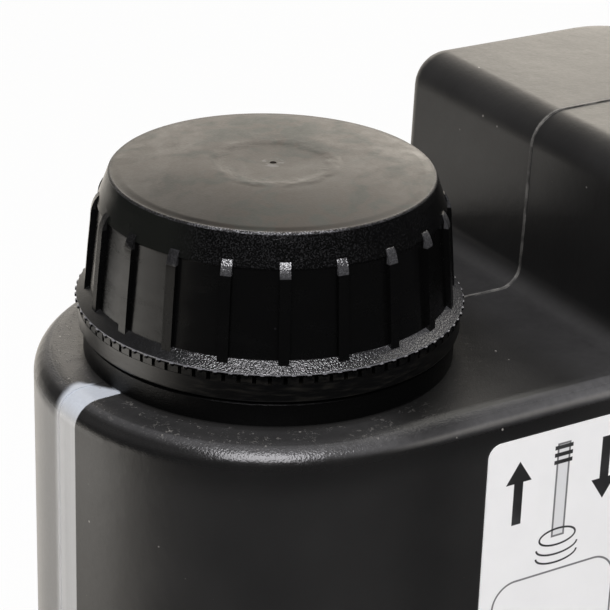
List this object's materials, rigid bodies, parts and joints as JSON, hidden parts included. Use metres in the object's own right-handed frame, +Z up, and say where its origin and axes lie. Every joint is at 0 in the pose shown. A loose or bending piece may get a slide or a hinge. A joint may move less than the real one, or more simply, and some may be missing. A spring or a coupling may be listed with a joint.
{
  "type": "motor oil bottle",
  "caption": "Black blow-moulded oil bottle with a rounded neck end, a tall block beside it, a ribbed screw cap over a tamper band and a pull-out pouring tube.",
  "frame": {"origin": "centre of the base, on the surface that the bottle stands on", "axes": "+Z up along the neck; +X from the neck end towards the tall block; the label is on the -Y side"},
  "size_m": [0.1164, 0.0638, 0.1885],
  "materials": {
    "bottle": "satin black polyethylene, blow moulded, with a pale see-through level stripe",
    "cap": "black polypropylene, smooth panels and fine spark-grained bevel and flange",
    "band": "satin black polypropylene",
    "liner": "white foam sealing disc",
    "spout": "natural polyethylene, satin",
    "label": "white film with grey and black line drawing"
  },
  "bodies": {
    "bottle": {"bottle_body": "bottle", "tamper_band": "band", "spout_collar": "spout", "front_label": "label"},
    "liner": {"cap_liner": "liner"},
    "cap": {"screw_cap": "cap"},
    "spout": {"spout_tube": "spout"}
  },
  "joints": [
    {"name": "cap_lift", "type": "slide", "parent": "bottle", "child": "liner", "axis": [0, 0, 1], "range_m": [0, 0.125]},
    {"name": "cap_turn", "type": "hinge", "parent": "liner", "child": "cap", "pos_m": [-0.0262, 0, 0.177], "axis": [0, 0, 1], "range_deg": [0, 4500]},
    {"name": "spout_pull", "type": "slide", "parent": "bottle", "child": "spout", "axis": [0, 0, 1], "range_m": [0, 0.103]}
  ],
  "couplings": [
    {"joint": "cap_lift", "follows": "cap_turn", "m_per_rad": 0.0015915},
    {"joint": "spout_pull", "follows": "cap_turn", "m_per_rad": 0.0013114}
  ]
}
